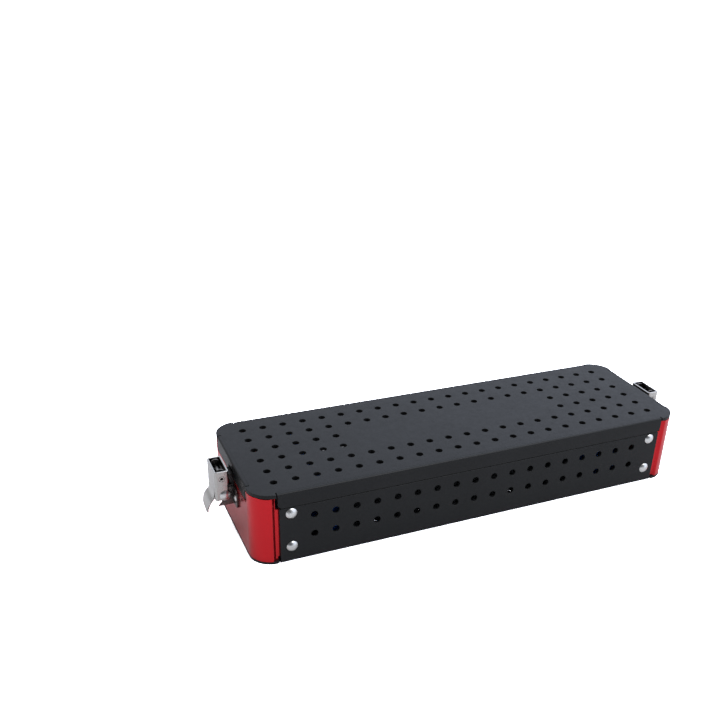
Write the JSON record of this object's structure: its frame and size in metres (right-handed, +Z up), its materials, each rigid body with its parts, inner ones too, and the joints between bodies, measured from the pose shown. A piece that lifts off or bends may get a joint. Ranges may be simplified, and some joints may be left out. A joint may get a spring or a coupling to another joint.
{
  "type": "perforated sterilization container with scope holders",
  "caption": "Long perforated aluminium sterilization container with a black lift-off lid, red end pieces, sprung press latches and silicone scope holders",
  "frame": {"origin": "bottom centre of the container, on the surface it stands on", "axes": "+X along the length, +Y across the width, +Z up"},
  "size_m": [0.3008, 0.0882, 0.043],
  "materials": {
    "black_anodised": "black anodised aluminium, satin",
    "red_anodised": "red anodised aluminium, glossy satin",
    "stainless": "formed stainless sheet, satin",
    "rivet_metal": "bright stainless rivets and pins",
    "spring_steel": "drawn spring wire",
    "silicone": "blue silicone, matt"
  },
  "bodies": {
    "base": {"base_channel": "black_anodised", "end_wall_left": "red_anodised", "end_wall_right": "red_anodised", "side_rivets": "rivet_metal", "latch_bracket_left": "stainless", "latch_rivets_left": "rivet_metal", "latch_pivot_pin_left": "rivet_metal", "latch_spring_left": "spring_steel", "scope_holder_left": "silicone", "latch_bracket_right": "stainless", "latch_rivets_right": "rivet_metal", "latch_pivot_pin_right": "rivet_metal", "latch_spring_right": "spring_steel", "scope_holder_right": "silicone"},
    "lid": {"lid": "black_anodised"},
    "latch_left": {"latch_lever_left": "stainless", "latch_hook_left": "stainless", "latch_hook_pin_left": "rivet_metal"},
    "latch_right": {"latch_lever_right": "stainless", "latch_hook_right": "stainless", "latch_hook_pin_right": "rivet_metal"}
  },
  "joints": [
    {"name": "lid_lift", "type": "slide", "parent": "base", "child": "lid", "axis": [0, 0, 1], "range_m": [0, 0.06]},
    {"name": "latch_left_press", "type": "hinge", "parent": "base", "child": "latch_left", "pos_m": [-0.1408, 0, 0.027], "axis": [0, -1, 0], "range_deg": [0, 30], "stiffness_Nm_per_rad": 0.05, "springref_deg": -11.46},
    {"name": "latch_right_press", "type": "hinge", "parent": "base", "child": "latch_right", "pos_m": [0.1408, 0, 0.027], "axis": [0, 1, 0], "range_deg": [0, 30], "stiffness_Nm_per_rad": 0.05, "springref_deg": -11.46}
  ]
}
